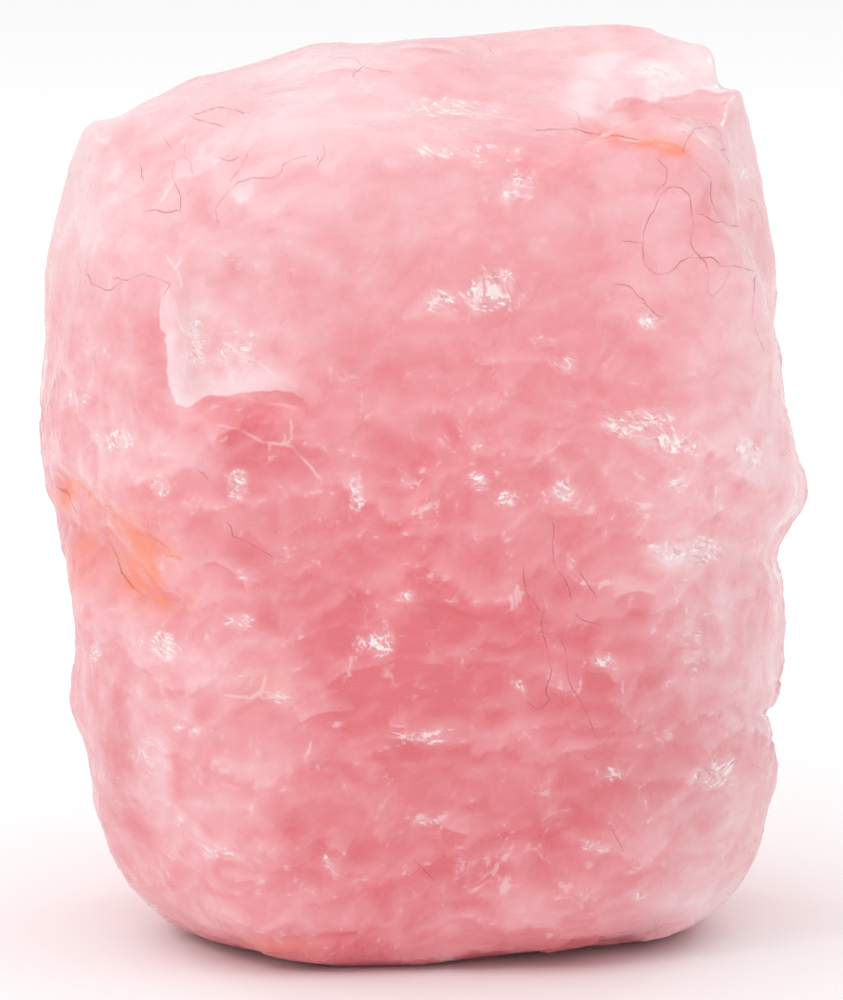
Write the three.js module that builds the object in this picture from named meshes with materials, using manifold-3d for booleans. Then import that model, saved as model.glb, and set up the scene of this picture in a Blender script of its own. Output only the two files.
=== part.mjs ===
// Rose quartz chunk: one rough block of massive rose quartz that stands on a flat broken base.
// Millimetres, +Z up, front towards -Y, origin on the resting plane under the middle of the block.

import * as THREE from "three";
import { mergeVertices } from "three/addons/utils/BufferGeometryUtils.js";
import { ImprovedNoise } from "three/addons/math/ImprovedNoise.js";
import Module from "manifold-3d";

// Driving dimensions of the finished block
const WIDTH = 107.5;
const DEPTH = 88.5;
const HEIGHT = 126;

// The block is described from its heart, at this height over the resting plane
const HEART_HEIGHT = 63;

// The outline is drawn square to a line of sight that comes down on the block at this angle
const SIGHT = THREE.MathUtils.degToRad(10);

// How crisply the broken faces meet one another and the outline: the powers of the norms that join them
const FACE_SHARPNESS = 18;
const OUTLINE_SHARPNESS = 60;

// Knobs of the outline belong to its rim. Away from it, by this angle, the least reach of a span counts
const RIM_ANGLE = 0.34;
const RIM_SPAN = 0.5;

// Spacing of the points that the surface is drawn through, and how far they are shaken out of line
const POINT_SPACING = 4.2;
const POINT_SHAKE = 0.6;

// Slow swell of the surface
const SWELL_HEIGHT = 2.4;
const SWELL_LENGTH = 26;

// Scalloped fracture all over: size of a bowl along each axis, its depth, and how far the bowls are bent
const SCALLOP_SIZE = new THREE.Vector3(22, 22, 15);
const SCALLOP_DEPTH = 3;
const SCALLOP_BEND = 7;

// Part of the relief that is left at the rim, where the outline already holds it
const RIM_RELIEF = 0.25;

// Rough face of a step: height and length of its bumps, the spacing of its points and its reach
const STEP_BUMPS = [
  { height: 2.6, length: 24 },
  { height: 1.4, length: 11 },
];
const STEP_SPACING = 4;
const STEP_REACH = 60;

// Outline of the block, [across, up] from its heart, clockwise from the upper left corner
const TOP_EDGE = [
  [-47.6, 49.5],
  [-42, 52.5],
  [-34, 56.5],
  [-26, 59.3],
  [-21.5, 61.3],
  [-15, 62.7],
  [-11, 63],
  [-7.5, 62.2],
  [-3, 63.2],
  [7, 64.3],
  [15, 65.4],
  [23, 66],
  [29, 65.3],
  [35, 64.5],
  [38.7, 63],
  [41, 60],
  [41.8, 57.2],
];
const RIGHT_SIDE = [
  [44.3, 56],
  [46, 52],
  [47.3, 47],
  [48.7, 39],
  [49.8, 32],
  [49.8, 20.5],
  [50.7, 13],
  [52, 7],
  [53.8, 2],
  [53.9, -2],
  [52.4, -5.5],
  [51.1, -8],
  [51.1, -12.5],
  [50.8, -19.5],
  [51.3, -24.5],
  [50, -29],
  [49, -31.5],
  [50, -38.5],
  [49, -44.5],
  [46.6, -52.7],
  [43.6, -58.4],
];
const UNDERSIDE = [
  [38, -62.2],
  [28, -64.2],
  [9, -65.7],
  [-3, -66.9],
  [-12, -66.7],
  [-23, -65],
  [-32.6, -63.3],
];
const LEFT_SIDE = [
  [-37, -60.5],
  [-42, -54.7],
  [-45, -48.5],
  [-46.5, -41.5],
  [-48, -35],
  [-49.6, -30],
  [-49.2, -24],
  [-48.7, -19],
  [-49.8, -12],
  [-52.1, -4.5],
  [-54.1, 5],
  [-53.5, 11.5],
  [-52.9, 18.5],
  [-53.1, 27],
  [-52.2, 33],
  [-51, 41],
  [-49.6, 45.5],
];

// Broken faces: which way each one looks, in degrees round from the front towards the right and
// up from level, and how far it lies from the heart
const FACES = [
  { name: "upper front", round: -3, up: 13, away: 46 },
  { name: "lower front", round: 1, up: -6, away: 42 },
  { name: "left front", round: -55, up: 4, away: 54.5 },
  { name: "lower left front", round: -48, up: -14, away: 57.5 },
  { name: "right front", round: 54, up: 2, away: 58 },
  { name: "lower right front", round: 44, up: -15, away: 58.5 },
  { name: "top", round: -68, up: 81, away: 63.5 },
  { name: "front top", round: -8, up: 52, away: 68.5 },
  { name: "top left", round: -52, up: 52, away: 67 },
  { name: "top right", round: 66, up: 44, away: 78 },
  { name: "shoulder top", round: 35, up: 64, away: 70.5 },
  { name: "foot", round: 4, up: -48, away: 68 },
  { name: "left foot", round: -62, up: -42, away: 73 },
  { name: "right foot", round: 58, up: -42, away: 75 },
  { name: "upper back", round: 171, up: 14, away: 46 },
  { name: "lower back", round: -176, up: -7, away: 44.5 },
  { name: "left back", round: -128, up: -5, away: 52 },
  { name: "right back", round: 131, up: 4, away: 54 },
  { name: "back top", round: -166, up: 54, away: 66 },
  { name: "back foot", round: -168, up: -44, away: 66 },
  { name: "right back foot", round: 128, up: -40, away: 68 },
];

// Steps broken out of the block. Each removes what lies past its walls and over its floor, all of
// which pass through a corner: the surface point that way from the heart, sunk in by a depth
const STEPS = [
  {
    name: "ledge",
    corner: { round: -38.5, up: 20, sunk: 4.6 },
    walls: [
      { round: 60, up: 10 },
      { round: -6, up: 60 },
    ],
    floor: { round: -13, up: 2 },
  },
  {
    name: "shoulder",
    corner: { round: 33, up: 52, sunk: 2.4 },
    walls: [{ round: -128, up: 30 }],
    floor: { round: 32, up: 75 },
  },
  {
    name: "back ledge",
    corner: { round: 160, up: 14, sunk: 3.4 },
    walls: [
      { round: 104, up: 40 },
      { round: 170, up: 58 },
    ],
    floor: { round: -178, up: 5 },
  },
];

// Creases sunk in the surface, each along a line of directions from the heart
const CREASES = [
  {
    name: "waist",
    wide: 7,
    deep: 3.2,
    line: [
      { round: -86, up: 2 },
      { round: -62, up: -3 },
      { round: -42, up: -11 },
    ],
  },
  {
    name: "under the ledge",
    wide: 8,
    deep: 2,
    line: [
      { round: -34, up: 9 },
      { round: -20, up: 8 },
    ],
  },
  {
    name: "right knob",
    wide: 6,
    deep: 2.4,
    line: [
      { round: 92, up: -9 },
      { round: 66, up: -4 },
      { round: 50, up: -6 },
    ],
  },
  {
    name: "right side",
    wide: 7,
    deep: 2.6,
    line: [
      { round: 84, up: 36 },
      { round: 104, up: 8 },
      { round: 112, up: -26 },
    ],
  },
  {
    name: "left back",
    wide: 8,
    deep: 3,
    line: [
      { round: -92, up: -30 },
      { round: -118, up: -4 },
      { round: -132, up: 26 },
    ],
  },
];

const sightLine = new THREE.Vector3(0, Math.cos(SIGHT), -Math.sin(SIGHT));
const swell = new ImprovedNoise();

const wasm = await Module();
wasm.setup();

// Height of a point in the plane of the outline
function raised(point) {
  return point.z * Math.cos(SIGHT) + point.y * Math.sin(SIGHT);
}

// Unit vector that looks round from the front towards the right, and up from level
function facing({ round, up }) {
  const turn = THREE.MathUtils.degToRad(round);
  const lift = THREE.MathUtils.degToRad(up);
  const flat = Math.cos(lift);
  return new THREE.Vector3(flat * Math.sin(turn), -flat * Math.cos(turn), Math.sin(lift));
}

// Distance from the heart to the outline, as a function of the angle in the outline's plane
function outlineReach() {
  const samples = 1440;
  const corners = [...TOP_EDGE, ...RIGHT_SIDE, ...UNDERSIDE, ...LEFT_SIDE];
  const line = new THREE.CatmullRomCurve3(
    corners.map(([across, up]) => new THREE.Vector3(across, up, 0)),
    true,
  );
  const polar = line
    .getPoints(samples)
    .map((p) => ({ angle: Math.atan2(p.y, p.x), reach: Math.hypot(p.x, p.y) }))
    .sort((a, b) => a.angle - b.angle);
  return (angle) => {
    const next = polar.findIndex((p) => p.angle > angle);
    const after = polar[next < 0 ? 0 : next];
    const before = polar.at(next < 0 ? -1 : next - 1);
    const gap = THREE.MathUtils.euclideanModulo(after.angle - before.angle, 2 * Math.PI);
    const share = THREE.MathUtils.euclideanModulo(angle - before.angle, 2 * Math.PI) / gap;
    return THREE.MathUtils.lerp(before.reach, after.reach, share);
  };
}

const rimReach = outlineReach();

// Least reach of the outline over a span of angles, without its knobs
function plainReach(angle) {
  const steps = [-1, -0.5, 0, 0.5, 1];
  const reaches = steps.map((step) => {
    const turned = angle + (step * RIM_SPAN) / 2;
    return rimReach(Math.atan2(Math.sin(turned), Math.cos(turned)));
  });
  return Math.min(...reaches);
}

const faces = FACES.map((face) => ({ normal: facing(face), away: face.away }));
const creases = CREASES.map((crease) => ({ ...crease, line: crease.line.map(facing) }));

// How near a direction lies to the rim, where the line of sight only grazes the block: 1 on it, 0 away
function rimShare(direction) {
  const off = Math.asin(direction.dot(sightLine)) / RIM_ANGLE;
  return Math.exp(-off * off);
}

// Distance from the heart to the bare block in one direction: outline and faces rounded together
function blockReach(direction) {
  const across = direction.x;
  const up = raised(direction);
  const angle = Math.atan2(up, across);
  const outline = THREE.MathUtils.lerp(plainReach(angle), rimReach(angle), rimShare(direction));
  let sum = 0;
  for (const { normal, away } of faces) {
    sum += Math.max(0, normal.dot(direction) / away) ** FACE_SHARPNESS;
  }
  const inFaces = sum ** (1 / FACE_SHARPNESS);
  const inOutline = Math.hypot(across, up) / outline;
  return (inFaces ** OUTLINE_SHARPNESS + inOutline ** OUTLINE_SHARPNESS) ** (-1 / OUTLINE_SHARPNESS);
}

// Slow noise round a point, about -1 to 1
function drift(point, length, salt = 0) {
  return swell.noise(point.x / length + salt, point.y / length, point.z / length);
}

// A number from 0 to 1 that belongs to one cell of a grid
function cellDraw(cell, salt) {
  const mixed = Math.sin(cell.x * 127.1 + cell.y * 311.7 + cell.z * 74.7 + salt * 53.3) * 43758.5453;
  return mixed - Math.floor(mixed);
}

// Relief of the scalloped fracture: a bowl round each point of a shaken grid, ridges between them
function scallop(point) {
  const bend = new THREE.Vector3(drift(point, 17, 5.3), drift(point, 17, 9.1), drift(point, 17, 13.7));
  const place = point.clone().addScaledVector(bend, SCALLOP_BEND).divide(SCALLOP_SIZE);
  const home = place.clone().floor();
  let nearest = Infinity;
  for (let i = 0; i < 27; i++) {
    const step = new THREE.Vector3((i % 3) - 1, (Math.floor(i / 3) % 3) - 1, Math.floor(i / 9) - 1);
    const cell = home.clone().add(step);
    const middle = cell.clone().add(
      new THREE.Vector3(cellDraw(cell, 1), cellDraw(cell, 2), cellDraw(cell, 3)),
    );
    nearest = Math.min(nearest, middle.distanceToSquared(place));
  }
  return SCALLOP_DEPTH * (Math.min(1, nearest) - 0.6);
}

// The point shaken a little out of line, the same way each time
function shaken(point) {
  const shake = [1, 2, 3].map((salt) => POINT_SHAKE * (2 * cellDraw(point, salt) - 1));
  return point.clone().add(new THREE.Vector3(...shake));
}

// Depth of the creases round a direction from the heart
function creased(direction) {
  let depth = 0;
  for (const { wide, deep, line } of creases) {
    let off = Infinity;
    for (let i = 1; i < line.length; i++) {
      const stretch = new THREE.Line3(line[i - 1], line[i]);
      const near = stretch.closestPointToPoint(direction, true, new THREE.Vector3());
      off = Math.min(off, near.normalize().angleTo(direction));
    }
    const across = (off * HEART_HEIGHT) / wide;
    depth = Math.max(depth, deep * Math.exp(-across * across));
  }
  return depth;
}

// Surface point of the block in one direction from its heart
function blockPoint(direction) {
  const point = direction.clone().multiplyScalar(blockReach(direction));
  const relief = SWELL_HEIGHT * drift(point, SWELL_LENGTH) + scallop(point) - creased(direction);
  const share = THREE.MathUtils.lerp(1, RIM_RELIEF, rimShare(direction));
  return point.addScaledVector(direction, relief * share);
}

// Closed geometry as a solid for joining and cutting
function solidOf(geometry) {
  const bare = geometry.clone();
  bare.deleteAttribute("normal");
  bare.deleteAttribute("uv");
  const merged = mergeVertices(bare);
  return new wasm.Manifold(
    new wasm.Mesh({
      numProp: 3,
      vertProperties: new Float32Array(merged.getAttribute("position").array),
      triVerts: new Uint32Array(merged.index.array),
    }),
  );
}

// A solid's faces as geometry
function geometryOf(solid) {
  const { vertProperties, triVerts } = solid.getMesh();
  const geometry = new THREE.BufferGeometry();
  geometry.setAttribute("position", new THREE.BufferAttribute(vertProperties, 3));
  geometry.setIndex(new THREE.BufferAttribute(triVerts, 1));
  geometry.computeVertexNormals();
  return geometry;
}

// The block before anything is broken off it, standing round its heart
function roughBlock() {
  const spans = [WIDTH, DEPTH, HEIGHT].map((side) => Math.round(side / POINT_SPACING));
  const grid = new THREE.BoxGeometry(WIDTH, DEPTH, HEIGHT, ...spans);
  grid.deleteAttribute("normal");
  grid.deleteAttribute("uv");
  const geometry = mergeVertices(grid);
  const position = geometry.getAttribute("position");
  const direction = new THREE.Vector3();
  for (let i = 0; i < position.count; i++) {
    direction.fromBufferAttribute(position, i);
    const point = blockPoint(shaken(direction).normalize());
    position.setXYZ(i, point.x, point.y, point.z);
  }
  return solidOf(geometry);
}

// Rough slab that fills the space behind a face through a point
function roughSlab(point, normal) {
  const size = 4 * STEP_REACH;
  const spans = size / STEP_SPACING;
  const slab = new THREE.BoxGeometry(size, size, size, spans, spans, 1);
  slab.translate(0, 0, -size / 2);
  slab.applyQuaternion(new THREE.Quaternion().setFromUnitVectors(new THREE.Vector3(0, 0, 1), normal));
  slab.translate(point.x, point.y, point.z);
  const position = slab.getAttribute("position");
  const place = new THREE.Vector3();
  for (let i = 0; i < position.count; i++) {
    place.fromBufferAttribute(position, i);
    let rise = 0;
    for (const { height, length } of STEP_BUMPS) rise += height * drift(place, length, normal.x * 7);
    const aside = shaken(place).sub(place).projectOnPlane(normal);
    place.add(aside).addScaledVector(normal, rise);
    position.setXYZ(i, place.x, place.y, place.z);
  }
  return solidOf(slab);
}

// All the space past a step's walls and over its floor
function stepCutter({ corner, walls, floor }) {
  const size = 2 * STEP_REACH;
  const point = blockPoint(facing(corner)).addScaledVector(facing(floor), -corner.sunk);
  const box = new THREE.BoxGeometry(size, size, size);
  box.translate(point.x, point.y, point.z);
  let cutter = solidOf(box);
  for (const face of [...walls, floor]) cutter = cutter.subtract(roughSlab(point, facing(face)));
  return cutter;
}

// Half space under the resting plane
function ground() {
  const size = 400;
  const box = new THREE.BoxGeometry(size, size, size);
  box.translate(0, 0, -HEART_HEIGHT - size / 2);
  return solidOf(box);
}

// The whole stone, standing on its base over the origin
function chunkGeometry() {
  let stone = roughBlock();
  for (const step of STEPS) stone = stone.subtract(stepCutter(step));
  const geometry = geometryOf(stone.subtract(ground()));
  geometry.computeBoundingBox();
  const { min, max } = geometry.boundingBox;
  geometry.translate(-(min.x + max.x) / 2, -(min.y + max.y) / 2, -min.z);
  geometry.scale(WIDTH / (max.x - min.x), DEPTH / (max.y - min.y), HEIGHT / (max.z - min.z));
  return geometry;
}

const chunk = new THREE.Mesh(
  chunkGeometry(),
  new THREE.MeshStandardMaterial({ color: 0xf0a0aa, roughness: 0.35, metalness: 0 }),
);
chunk.name = "rose_quartz_chunk";

const group = new THREE.Group();
group.add(chunk);

export default group;
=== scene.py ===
import math

import bmesh
import bpy
import numpy as np
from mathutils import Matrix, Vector


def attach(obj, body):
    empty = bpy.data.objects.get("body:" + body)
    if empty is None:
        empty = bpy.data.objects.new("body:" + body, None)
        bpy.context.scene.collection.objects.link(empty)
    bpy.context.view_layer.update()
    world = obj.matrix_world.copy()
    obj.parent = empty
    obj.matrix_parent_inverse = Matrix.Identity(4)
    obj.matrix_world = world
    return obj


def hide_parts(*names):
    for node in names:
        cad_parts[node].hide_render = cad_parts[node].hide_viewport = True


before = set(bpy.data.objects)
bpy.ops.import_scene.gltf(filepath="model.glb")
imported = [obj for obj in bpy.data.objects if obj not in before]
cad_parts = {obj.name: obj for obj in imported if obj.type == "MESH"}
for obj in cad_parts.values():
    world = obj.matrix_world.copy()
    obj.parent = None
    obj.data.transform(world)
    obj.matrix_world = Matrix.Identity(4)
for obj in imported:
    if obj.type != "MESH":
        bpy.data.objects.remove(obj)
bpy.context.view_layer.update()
scene = bpy.context.scene
perMetre = 1000                 # millimetres in a metre
print("frame loaded")

# the line of sight that the stone's marks are placed along, and the image they are counted in
sight = {
    "heart": Vector((0, 0, 0.063)),
    "elevation": 10,
    "distance": 1.3,
    "frameHeight": 0.141,       # metres that the rows of the image cover at the heart
    "heartOverMiddle": 0.00195,
    "columns": 843,
    "rows": 1000,
    "sensor": 36,
    "clipStart": 0.05,
}


def sightAxes(azimuth, elevation):
    turn = math.radians(azimuth)
    lift = math.radians(elevation)
    back = Vector((math.sin(turn) * math.cos(lift), -math.cos(turn) * math.cos(lift), math.sin(lift)))
    right = Vector((math.cos(turn), math.sin(turn), 0))
    up = back.cross(right)
    eye = sight["heart"] - up * sight["heartOverMiddle"] + back * sight["distance"]
    return right, up, back, eye


def addCamera():
    back, eye = sightAxes(0, sight["elevation"])[2:]
    data = bpy.data.cameras.new("photoCamera")
    data.sensor_width = sight["sensor"]
    data.lens = sight["sensor"] * sight["distance"] / sight["frameHeight"]
    data.clip_start = sight["clipStart"]
    camera = bpy.data.objects.new("photoCamera", data)
    camera.location = eye
    camera.rotation_euler = (-back).to_track_quat("-Z", "Y").to_euler()
    scene.collection.objects.link(camera)
    scene.camera = camera


studio = {
    "worldColour": (1, 1, 1),
    "worldStrength": 0.775,
    "floorColour": (0.975, 0.97, 0.97),
    "floorRoughness": 0.9,
    "floorSize": 12,
    # name, place, size, watts
    "softboxes": (
        ("overhead", (-0.25, -0.25, 2.0), (3.2, 3.2), 17.0),
        ("leftFront", (-0.55, -0.75, 0.75), (0.13, 0.16), 1.1),
        ("rightFront", (0.75, -0.60, 0.50), (0.08, 0.12), 0.12),
        ("leftBehind", (-0.65, 0.65, 0.60), (0.13, 0.16), 0.6),
        ("rightBehind", (0.60, 0.75, 0.55), (0.13, 0.16), 0.6),
    ),
}


def addLights():
    world = bpy.data.worlds.new("softWorld")
    world.use_nodes = True
    background = world.node_tree.nodes["Background"]
    background.inputs["Color"].default_value = (*studio["worldColour"], 1)
    background.inputs["Strength"].default_value = studio["worldStrength"]
    scene.world = world
    scene.view_settings.view_transform = "Standard"
    for name, place, size, watts in studio["softboxes"]:
        data = bpy.data.lights.new(name, "AREA")
        data.shape = "RECTANGLE"
        data.size, data.size_y = size
        data.energy = watts
        lamp = bpy.data.objects.new(name, data)
        lamp.location = place
        lamp.rotation_euler = (sight["heart"] - Vector(place)).to_track_quat("-Z", "Y").to_euler()
        scene.collection.objects.link(lamp)


def addFloor():
    mesh = bpy.data.meshes.new("paleFloor")
    shape = bmesh.new()
    bmesh.ops.create_grid(shape, x_segments=1, y_segments=1, size=studio["floorSize"] / 2)
    shape.to_mesh(mesh)
    shape.free()
    paper = bpy.data.materials.new("palePaper")
    paper.use_nodes = True
    coat = paper.node_tree.nodes["Principled BSDF"]
    coat.inputs["Base Color"].default_value = (*studio["floorColour"], 1)
    coat.inputs["Roughness"].default_value = studio["floorRoughness"]
    mesh.materials.append(paper)
    floor = bpy.data.objects.new("paleFloor", mesh)
    scene.collection.objects.link(floor)


addCamera()
addLights()
addFloor()
print("camera, light and floor set")

# lengths in metres
skin = {
    "weld": 1e-5,
    "voxel": 0.00085,
    "smoothPasses": 8,
    "smoothFactor": 0.5,
}


def bakeModifiers(piece):
    depsgraph = bpy.context.evaluated_depsgraph_get()
    mesh = bpy.data.meshes.new_from_object(piece.evaluated_get(depsgraph))
    piece.modifiers.clear()
    piece.data = mesh


def remeshedStone(node):
    shape = bmesh.new()
    shape.from_mesh(node.data)
    bmesh.ops.remove_doubles(shape, verts=shape.verts, dist=skin["weld"])
    mesh = bpy.data.meshes.new("coarseStone")
    shape.to_mesh(mesh)
    shape.free()
    stone = bpy.data.objects.new("rose_quartz_skin", mesh)
    scene.collection.objects.link(stone)
    voxels = stone.modifiers.new("voxels", "REMESH")
    voxels.mode = "VOXEL"
    voxels.voxel_size = skin["voxel"]
    bakeModifiers(stone)
    fine = stone.data
    shape = bmesh.new()
    shape.from_mesh(fine)
    everyAxis = {"use_axis_x": True, "use_axis_y": True, "use_axis_z": True}
    for _ in range(skin["smoothPasses"]):
        bmesh.ops.smooth_vert(shape, verts=shape.verts, factor=skin["smoothFactor"], **everyAxis)
    for face in shape.faces:
        face.smooth = True
    shape.to_mesh(fine)
    shape.free()
    print("stone remeshed,", len(fine.polygons), "faces")
    return stone


def smoothStep(low, high, value):
    share = np.clip((value - low) / (high - low), 0, 1)
    return share * share * (3 - 2 * share)


def vertexTable(mesh, field):
    flat = np.empty(len(mesh.vertices) * 3, np.float32)
    mesh.vertices.foreach_get(field, flat)
    return flat.reshape(-1, 3).astype(float)


def placeVertices(mesh, places):
    mesh.vertices.foreach_set("co", places.astype(np.float32).ravel())
    mesh.update()


def keepField(mesh, name, values):
    kind, slot = ("FLOAT", "value") if values.ndim == 1 else ("FLOAT_VECTOR", "vector")
    field = mesh.attributes.new(name, kind, "POINT")
    field.data.foreach_set(slot, values.astype(np.float32).ravel())


def readBack(mesh, name, width=1):
    values = np.empty(len(mesh.vertices) * width, np.float32)
    mesh.attributes[name].data.foreach_get("value" if width == 1 else "vector", values)
    return values.astype(float) if width == 1 else values.reshape(-1, width).astype(float)


def takeField(mesh, name):
    values = readBack(mesh, name)
    mesh.attributes.remove(mesh.attributes[name])
    return values


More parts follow.
